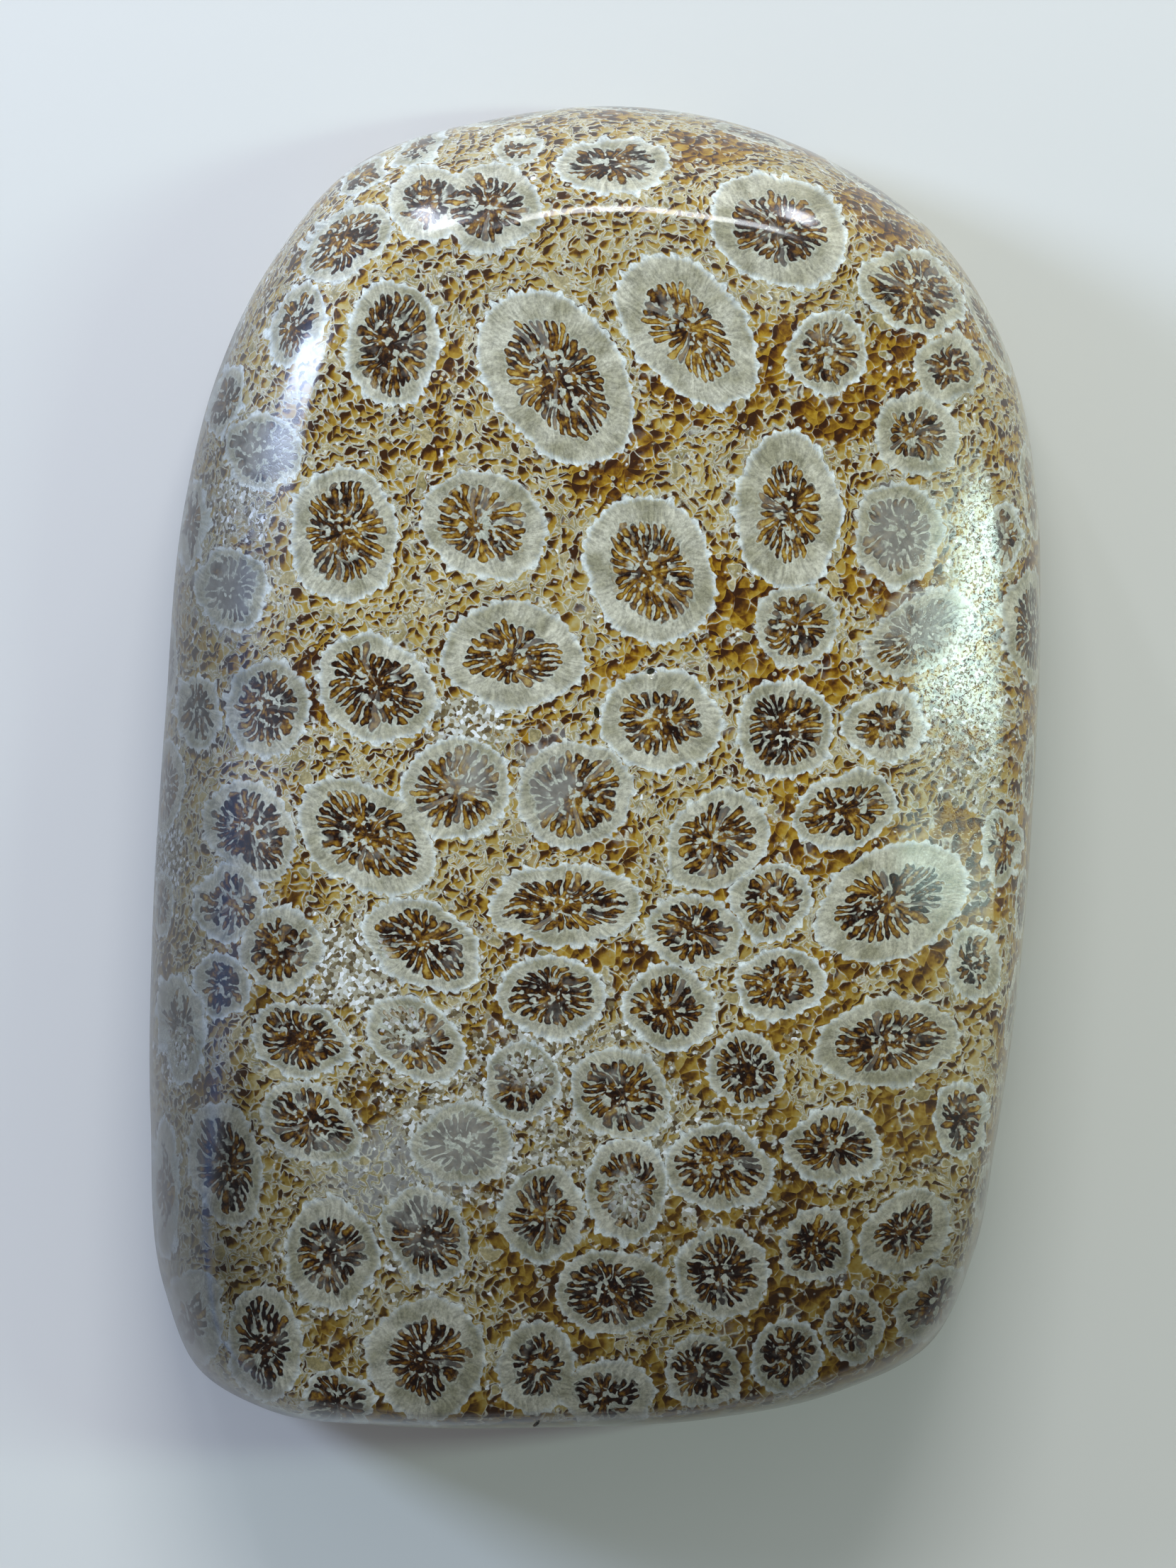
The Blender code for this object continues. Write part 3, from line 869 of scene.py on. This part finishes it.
# %% Long and short septa
SHORTEST_SEPTUM = 0.86  # of the way out from the middle
inner_end = add("Math", (luck, 0.40, 0.26), operation="MULTIPLY_ADD")
inner_end = add("Math", (short, 0.30, inner_end), operation="MULTIPLY_ADD")
inner_end = add("Math", (inner_end, SHORTEST_SEPTUM), operation="MINIMUM")
past_end = add("Math", (mouth_depth, inner_end), operation="SUBTRACT")
long_enough = add("MapRange", (past_end, -0.04, 0.04, 0.0, 1.0), **SMOOTH)
blade = add("Math", (wall_of_finger, long_enough), operation="MULTIPLY")
tell("blades")

# %% [markdown]
# In the middle the blades end in the columella, a sponge of knobs and curls with dark gaps between them.
# A noise cut a little above its middle value makes the sponge, and round cells of a Voronoi pattern the
# knobs.

# %% Drawing the columella
sponge = add("TexNoise", {"Vector": place, "Scale": 2.5, "Detail": 1.0, "Distortion": 0.4})
sponge = add("MapRange", (sponge, 0.54, 0.61, 0.0, 1.0), **SMOOTH)
knobs = add("TexVoronoi", {"Vector": place, "Scale": 2.2}, feature="F1")
knob_luck = add("SeparateColor", (knobs.outputs["Color"],))
knob_size = add("Math", (knob_luck, 0.20, -0.04), operation="MULTIPLY_ADD")
knobs = add("Math", (knobs, knob_size), operation="SUBTRACT")
knobs = add("MapRange", (knobs, -0.04, 0.05, 1.0, 0.0), **SMOOTH)
tangle = add("Math", (sponge, knobs), operation="MAXIMUM")
middle = add("MapRange", (mouth_depth, 0.46, 0.66, 1.0, 0.0), **SMOOTH)
tangle = add("Math", (tangle, middle), operation="MULTIPLY")
skeleton = add("Math", (blade, tangle), operation="MAXIMUM")
tell("columella")

# %% [markdown]
# ### What fills the chambers
#
# Each chamber is filled with chalcedony that runs from nearly black through brown to amber. It is darkest
# against the walls, and every chamber drew its own tone. Clouded patches turn it grey.

# %% The chambers' colour
CHAMBER_BROWNS = {0.0: "#190b04", 0.26: "#3a210b", 0.50: "#664411", 0.75: "#8a6722", 1.0: "#a88c42"}


def set_stops(ramp, colours):
    """Gives a colour ramp its colours, each under its position from 0 to 1."""
    first, *between, last = colours.items()
    for stop, (position, colour) in zip(ramp.elements, (first, last)):
        stop.position, stop.color = position, linear(colour)
    for position, colour in between:
        ramp.elements.new(position).color = linear(colour)


clouds = add("TexNoise", {"Vector": place, "Scale": 1.1, "Detail": 3.0, "Roughness": 0.6})
glints = add("TexNoise", {"Vector": place, "Scale": 3.2, "Detail": 2.0, "Roughness": 0.6})
amber = -1.62
for source, weight in ((clouds, 1.9), (glints, 1.5), (tone, 0.42), (chamber_tint, 0.36)):
    amber = add("Math", (source, weight, amber), operation="MULTIPLY_ADD")
core = add("MapRange", (mouth_depth, 0.30, 0.60, 0.16, 0.0))
from_wall = add("MapRange", (finger, -0.16, 0.0, 0.13, -0.26), **SMOOTH)
for part in (core, from_wall):
    amber = add("Math", (amber, part), operation="ADD")
chamber_colour = add("ValToRGB", (amber,))
set_stops(chamber_colour.color_ramp, CHAMBER_BROWNS)
tell("chambers")

# %% Clouded chambers
cloud_edge = add("TexNoise", {"Vector": place, "Scale": 0.9, "Detail": 3.0})
cloud_edge = add("Math", (cloud_edge, 1.6, -0.95), operation="MULTIPLY_ADD")
cloudy = add("Math", (cloud_here, cloud_edge), operation="ADD")
cloudy = add("MapRange", (cloudy, 0.0, 0.5, 0.0, 0.9))
rare_cloud = add("MapRange", (chamber_tint.outputs["Green"], 0.92, 0.97, 0.0, 0.55))
clouded_chamber = add("Math", (cloudy, rare_cloud), operation="MAXIMUM")
chamber_grey = add("Mix", (clouds, "#4f453a", "#a19f93"), data_type="RGBA")
chamber_colour = add("Mix", (clouded_chamber, chamber_colour, chamber_grey), data_type="RGBA")
tell("clouds")

# %% [markdown]
# ### The ring
#
# The ring, or theca, is dense cream skeleton about a millimetre wide. It has a fine grain, faint greyish
# olive patches and radial fibres, and whiter bands at its outer edge and round the chambers. The septa
# run on through it as ribs that end in small teeth.

# %% The ring's colour
patches = add("TexNoise", {"Vector": place, "Scale": 0.5, "Detail": 3.0, "Roughness": 0.6})
patches = add("MapRange", (patches, 0.38, 0.62, 0.0, 1.0))
ring_colour = add("Mix", (patches, "#b8b39d", "#8f8a70"), data_type="RGBA")
fibre_place = add("CombineXYZ", (count, add("Math", (from_middle, 0.35), operation="MULTIPLY"), seed))
fibres = add("TexNoise", {"Vector": fibre_place, "Scale": 3.0, "Detail": 3.0, "Roughness": 0.65})
grain = add("TexNoise", {"Vector": place, "Scale": 6.0, "Detail": 3.0, "Roughness": 0.75})
speckle = add("Math", (fibres, grain), operation="ADD")
speckle = add("MapRange", (speckle, 0.76, 1.24, 0.58, 1.30))
rim_width = add("MapRange", (grain, 0.35, 0.65, -0.50, -0.20))
ring_luck = add("TexWhiteNoise", {"W": seed}, noise_dimensions="1D")
rim_strength = add("Math", (ring_luck, 0.50, 0.45), operation="MULTIPLY_ADD")
outer_band = add("MapRange", (gap, rim_width, -0.02, 0.0, rim_strength), **SMOOTH)
inner_band = add("MapRange", (finger, 0.02, 0.14, 0.55, 0.0), **SMOOTH)
for band, cream in ((outer_band, "#d3d8d1"), (inner_band, "#babeae")):
    ring_colour = add("Mix", (band, ring_colour, cream), data_type="RGBA")
ring_colour = add("VectorMath", (ring_colour, speckle), operation="SCALE")
tell("ring")

# %% Ribs and teeth
on_septum = add("Math", (aside, -2.0, 1.0), operation="MULTIPLY_ADD")  # 1 on a septum, 0 between
rib = add("MapRange", (on_septum, 0.0, 1.0, 0.0, 1.0), **SMOOTH)
tooth = 0.15
for source, weight in ((luck, 0.16), (short, -0.11)):
    tooth = add("Math", (source, weight, tooth), operation="MULTIPLY_ADD")
tooth = add("Math", (rib, tooth, -0.10), operation="MULTIPLY_ADD")
tooth = add("Math", (knobbly, 0.35, tooth), operation="MULTIPLY_ADD")
to_wall = add("Math", (gap, tooth), operation="SUBTRACT")  # millimetres from the toothed wall
wall = add("MapRange", (to_wall, -0.03, 0.04, 1.0, 0.0), **SMOOTH)
tell("teeth")

# %% [markdown]
# ### Vesicles between the tubes
#
# Between the tubes the coral built blisters of thin plates, one row on another round each tube, like
# courses of brick. The distance from the nearest ring, divided by a course's height, numbers the rows.
# A Voronoi pattern shifted by a different amount in each row then splits it into bricks. Where the zones
# noise says so the rows are left out, and wide pools of amber remain.

# %% Rows
COURSE = 0.58  # millimetres from one row to the next
POOLS_BELOW = 0.44  # of the zones noise
beyond_wall = add("Math", (to_wall, 0.0), operation="MAXIMUM")
bend = add("TexNoise", {"Vector": place, "Scale": 0.28, "Detail": 1.0})
courses = add("Math", (beyond_wall, 1 / COURSE), operation="MULTIPLY")
courses = add("Math", (bend, 3.6, courses), operation="MULTIPLY_ADD")
row = add("Math", (courses,), operation="FLOOR")
up_row = add("Math", (courses,), operation="FRACT")  # 0 to 1 from one plate to the next
down_row = add("Math", (1.0, up_row), operation="SUBTRACT")
to_plate = add("Math", (up_row, down_row), operation="MINIMUM")
to_plate = add("Math", (to_plate, COURSE), operation="MULTIPLY")
zones = add("TexNoise", {"Vector": place, "Scale": 0.16, "Detail": 1.0})
lie = add("VectorMath", (place, (-0.005, 0.002, 0.0)), operation="DOT_PRODUCT")
zones = add("Math", (zones, lie), operation="ADD")
coursed = add("Math", (zones, POOLS_BELOW), operation="GREATER_THAN")
pooled = add("Math", (1.0, coursed), operation="SUBTRACT")
to_plate = add("Math", (pooled, to_plate), operation="ADD")  # out of reach where there are no rows
row = add("Math", (row, coursed), operation="MULTIPLY")
tell("rows")

# %% Bubbles
BUBBLE = 0.80  # millimetres
WARP = 0.6  # millimetres
ROW_SHIFT = (7.13, 3.31, 5.87)  # bubbles, any amount that isn't whole
row_shift = add("VectorMath", (ROW_SHIFT, row), operation="SCALE")
warp = add("TexNoise", {"Vector": place, "Scale": 1.3, "Detail": 0.0})
warp = add("VectorMath", (warp.outputs["Color"], (0.5, 0.5, 0.5)), operation="SUBTRACT")
warp = add("VectorMath", (warp, WARP), operation="SCALE")
bubble_place = add("VectorMath", (place, warp), operation="ADD")
bubble_place = add("VectorMath", (bubble_place, (1 / BUBBLE, 1 / BUBBLE, 1 / BUBBLE)), operation="MULTIPLY")
bubble_place = add("VectorMath", (bubble_place, row_shift), operation="ADD")
edges, cells = [
    add("TexVoronoi", {"Vector": bubble_place, "Scale": 1.0, "Randomness": 0.95}, feature=feature)
    for feature in ("DISTANCE_TO_EDGE", "F1")
]
to_edge = add("Math", (edges, BUBBLE), operation="MULTIPLY")
to_plate = add("Math", (to_plate, to_edge), operation="MINIMUM")
tell("bubbles")

# %% [markdown]
# The plates are one to two tenths of a millimetre thick where they are whole, and fade out where they
# broke. Round pillars and swollen lumps of skeleton stand among them. Each is a distance in millimetres
# that is under zero inside the skeleton, and a smooth minimum joins them with the fillets that living
# skeleton has.

# %% Lumps and pillars
PILLARS_PER_MM = 1.6
LUMP_LEVEL = 0.66  # of the noise, above which a lump swells
LUMP_SLOPE = 1.9  # millimetres for the whole range of the noise
LUMP_FILLET, PLATE_FILLET = 0.10, 0.07  # millimetres


def lumps_and_pillars(where):
    """Millimetres from a place to the nearest lump or pillar of skeleton, under 0 inside one."""
    swell = add("TexNoise", {"Vector": where, "Scale": 0.8, "Detail": 1.5, "Roughness": 0.45})
    lump = add("Math", (LUMP_LEVEL, swell), operation="SUBTRACT")
    lump = add("Math", (lump, LUMP_SLOPE), operation="MULTIPLY")
    pillars = add("TexVoronoi", {"Vector": where, "Scale": PILLARS_PER_MM}, feature="F1")
    size = add("SeparateColor", (pillars.outputs["Color"],))
    size = add("Math", (size, 0.16, 0.01), operation="MULTIPLY_ADD")
    pillar = add("Math", (pillars, 1 / PILLARS_PER_MM), operation="MULTIPLY")
    pillar = add("Math", (pillar, size), operation="SUBTRACT")
    return add("Math", (lump, pillar, LUMP_FILLET), operation="SMOOTH_MIN")


lumps_here = lumps_and_pillars(place)
tell("lumps and pillars")

# %% Plates
thickness = add("TexNoise", {"Vector": place, "Scale": 0.9, "Detail": 1.0})
plate_half = add("MapRange", (thickness, 0.36, 0.66, -0.055, 0.040))
whole = add("MapRange", (zones, 0.40, 0.48, 0.0, 1.0))
plate_half = add("Math", (whole, 0.050, plate_half), operation="MULTIPLY_ADD")
plate_gap = add("Math", (to_plate, plate_half), operation="SUBTRACT")
skeleton_gap = add("Math", (plate_gap, lumps_here, PLATE_FILLET), operation="SMOOTH_MIN")
plate = add("MapRange", (skeleton_gap, -0.02, 0.03, 1.0, 0.0), **SMOOTH)
plate_colour = add("Mix", (patches, "#a99b72", "#8d7f52"), data_type="RGBA")
lit_edge = add("MapRange", (skeleton_gap, -0.06, -0.01, 0.0, 0.55), **SMOOTH)
plate_colour = add("Mix", (lit_edge, plate_colour, "#d0d3c9"), data_type="RGBA")
plate_colour = add("VectorMath", (plate_colour, speckle), operation="SCALE")
tell("plates")

# %% [markdown]
# Each bubble is a hollow under clear stone, and its shading is painted into the colour as if lit from the
# upper left: a dark crescent of painted shade lies at its upper left wall, and the floor runs from golden
# to a pale olive at the lower right. The row's own slope adds to that painted shade, by how far its ring
# lies from the light. Whole neighbourhoods are golden, where pools are wide and deep, and olive, where many
# thin plates shine through and towards the square end.

# %% Crescents of painted shade
FROM_LIGHT, TO_LIGHT = (0.7, -0.7, 0.3), (-0.7, 0.7, 0.0)  # the light comes from the upper left
in_cell = add("VectorMath", (bubble_place, cells.outputs["Position"]), operation="SUBTRACT")
facing = add("VectorMath", (in_cell, FROM_LIGHT), operation="DOT_PRODUCT")
outward = add("VectorMath", (level_here,), operation="NORMALIZE")
to_light = add("VectorMath", (outward, TO_LIGHT), operation="DOT_PRODUCT")
slope = add("Math", (0.5, up_row), operation="SUBTRACT")
for part in (to_light, coursed):
    slope = add("Math", (slope, part), operation="MULTIPLY")
facing = add("Math", (facing, 0.8, slope), operation="MULTIPLY_ADD")
# Painted shade: a dark crescent at each bubble's upper left, paler towards the lower right.
painted_crescent_shade = add("MapRange", (facing, -0.34, 0.22, -0.58, 0.26), **SMOOTH)
hollow = add("Math", (whole, 0.5, 0.5), operation="MULTIPLY_ADD")
painted_crescent_shade = add("Math", (painted_crescent_shade, hollow), operation="MULTIPLY")
tell("crescents")

# %% Shade beside the pillars
through = add("MapRange", (skeleton_gap, 0.0, 0.12, 0.20, 0.0), **SMOOTH)  # skeleton under thin stone
uphill = add("VectorMath", (place, (-0.09, 0.10, 0.0)), operation="ADD")  # nearer the light
pillar_shade = add("MapRange", (lumps_and_pillars(uphill), 0.0, 0.12, -0.35, 0.0), **SMOOTH)
tell("shade")

# %% The vesicles' colour
GOLDS = {0.0: "#331806", 0.2: "#5c3506", 0.4: "#87600e", 0.6: "#a37e20", 0.8: "#a18840", 1.0: "#a7965e"}
OLIVES = {0.0: "#3c2710", 0.25: "#634818", 0.5: "#856b2c", 0.75: "#978248", 1.0: "#a99b70"}
cell_luck = add("SeparateColor", (cells.outputs["Color"],))
region = add("TexNoise", {"Vector": place, "Scale": 0.16, "Detail": 2.0})
cell_value = -1.00
for source, weight in ((cell_luck, 0.34), (region, 1.0), (glints, 0.6), (clouds, 0.9)):
    cell_value = add("Math", (source, weight, cell_value), operation="MULTIPLY_ADD")
for part in (painted_crescent_shade, pillar_shade, through):
    cell_value = add("Math", (cell_value, part), operation="ADD")
golden, olive = [add("ValToRGB", (cell_value,)) for _ in range(2)]
set_stops(golden.color_ramp, GOLDS)
set_stops(olive.color_ramp, OLIVES)
olive_share = add("MapRange", (spot.outputs["Y"], -24.0, 2.0, 0.55, 0.0))
for source, weight in ((whole, 0.30), (cell_luck.outputs["Green"], 0.25)):
    olive_share = add("Math", (source, weight, olive_share), operation="MULTIPLY_ADD")
vesicle_colour = add("Mix", (olive_share, golden, olive), data_type="RGBA")
vesicle_grey = add("Mix", (clouds, "#6d6a62", "#a3a19a"), data_type="RGBA")
vesicle_colour = add("Mix", (cloudy, vesicle_colour, vesicle_grey), data_type="RGBA")
tell("vesicles")

# %% [markdown]
# ### Sugar
#
# Where a pocket stayed open, quartz grew into it as a crust of small crystals. Cut through, it shows as a
# jumble of white and grey chips. The chips are Voronoi cells of a quarter of a millimetre, each with its
# own brightness, and they gather in the sugary patches and, thinly, among all the vesicles.

# %% Chips of crystal
CHIP = 0.22  # millimetres
CRYSTALS = {0.0: "#3b2814", 0.3: "#76694a", 0.55: "#a8a28a", 0.85: "#cfd0c8", 1.0: "#f4f5f1"}
chips = add("TexVoronoi", {"Vector": place, "Scale": 1 / CHIP}, feature="F1")
chip_luck = add("SeparateColor", (chips.outputs["Color"],))
chip_colour = add("ValToRGB", (chip_luck,))
set_stops(chip_colour.color_ramp, CRYSTALS)
sugar_edge = add("TexNoise", {"Vector": place, "Scale": 1.5, "Detail": 2.0})
sugar_edge = add("Math", (sugar_edge, 2.4, -1.55), operation="MULTIPLY_ADD")
sugar = add("Math", (sugar_here, sugar_edge), operation="ADD")
sugar = add("MapRange", (sugar, -0.05, 0.15, 0.0, 0.9))
sugar_inside = add("MapRange", (sugar_here, 0.50, 0.75, 0.0, 0.9))
sugar_inside = add("Math", (sugar, sugar_inside), operation="MULTIPLY")
chamber_colour = add("Mix", (sugar_inside, chamber_colour, chip_colour), data_type="RGBA")
tell("sugar")

# %% [markdown]
# ### Putting the colours together
#
# From the bottom up: vesicles, their plates, sugar, the ring, and the mouth with its chambers and blades.
# Darkening finishes it. The colour grows darker towards the square end, and every colour is dimmed a
# little. Some of the square end may be iron stain. The left side and the lower right corner are darkened
# with painted shade, which isn't the stone's own colour: it stands in for the dark surroundings that a
# stone's edges would mirror, since the pale floor here lightens them. The rest isn't the stone's own
# colour. Leave these factors out to get the stone's colour alone.

# %% The whole pattern
in_mouth = add("MapRange", (mouth_depth, 1.15, 1.2, 1.0, 0.0))
chamber_here = add("Math", (1.0, skeleton), operation="SUBTRACT")
chamber_here = add("Math", (chamber_here, in_mouth), operation="MULTIPLY")
colour = vesicle_colour
for share, on_top in (
    (plate, plate_colour),
    (sugar, chip_colour),
    (wall, ring_colour),
    (chamber_here, chamber_colour),
):
    colour = add("Mix", (share, colour, on_top), data_type="RGBA")
tell("layers")

# %% Darker end, dimming and painted shade
OVERALL = 0.93
square_end = add("Math", (region, 14.0, spot.outputs["Y"]), operation="MULTIPLY_ADD")
square_end = add("MapRange", (square_end, -22.0, 0.0, 0.56, 1.0), **SMOOTH)
# Painted shade: the left side, its outermost edge and the lower right corner are darkened.
flank = add("Math", (region, 6.0, spot.outputs["X"]), operation="MULTIPLY_ADD")
flank = add("MapRange", (flank, -19.0, -11.0, 0.43, 1.0), **SMOOTH)
left_edge = add("MapRange", (spot.outputs["X"], -24.0, -17.5, 0.55, 1.0), **SMOOTH)
low_corner = add("VectorMath", (place, (0.35, -1.0, 0.0)), operation="DOT_PRODUCT")
low_corner = add("MapRange", (low_corner, 27.0, 39.0, 1.0, 0.6), **SMOOTH)
outermost = add("Math", (left_edge, low_corner), operation="MULTIPLY")
darker_end_and_painted_shade = square_end
for shade in (flank, outermost, OVERALL):
    darker_end_and_painted_shade = add("Math", (darker_end_and_painted_shade, shade), operation="MULTIPLY")
colour = add("VectorMath", (colour, darker_end_and_painted_shade), operation="SCALE")
feed(shader.inputs["Base Color"], colour)
tell("darker_end_and_painted_shade")

# %% [markdown]
# ### The polish
#
# The felt leaves a gloss like glass, which the stone's grain breaks up a little. The left side is made
# rougher, so that it mirrors the floor less sharply, and the dull spots are pitted. The pits are bumps of
# a noise a fifth of a millimetre wide, drawn coarser than real pits so that they show.

# %% The surface
PIT_DEPTH = 0.03  # millimetres
polish = 0.10
for source, weight in ((dull_here, 0.05), (grain, 0.08)):
    polish = add("Math", (source, weight, polish), operation="MULTIPLY_ADD")
left_softness = add("MapRange", (spot.outputs["X"], -13.0, -19.0, 0.0, 0.10))
polish = add("Math", (polish, left_softness), operation="ADD")
feed(shader.inputs["Roughness"], polish)
pits = add("TexNoise", {"Vector": place, "Scale": 5.0, "Detail": 2.0, "Roughness": 0.7})
pits = add("MapRange", (pits, 0.36, 0.46, 0.0, 1.0))
pit_strength = add("Math", (dull_here, 0.7, 0.03), operation="MULTIPLY_ADD")
bump = add("Bump", {"Height": pits, "Strength": pit_strength, "Distance": PIT_DEPTH * MM})
feed(shader.inputs["Normal"], bump)
tell("polish")
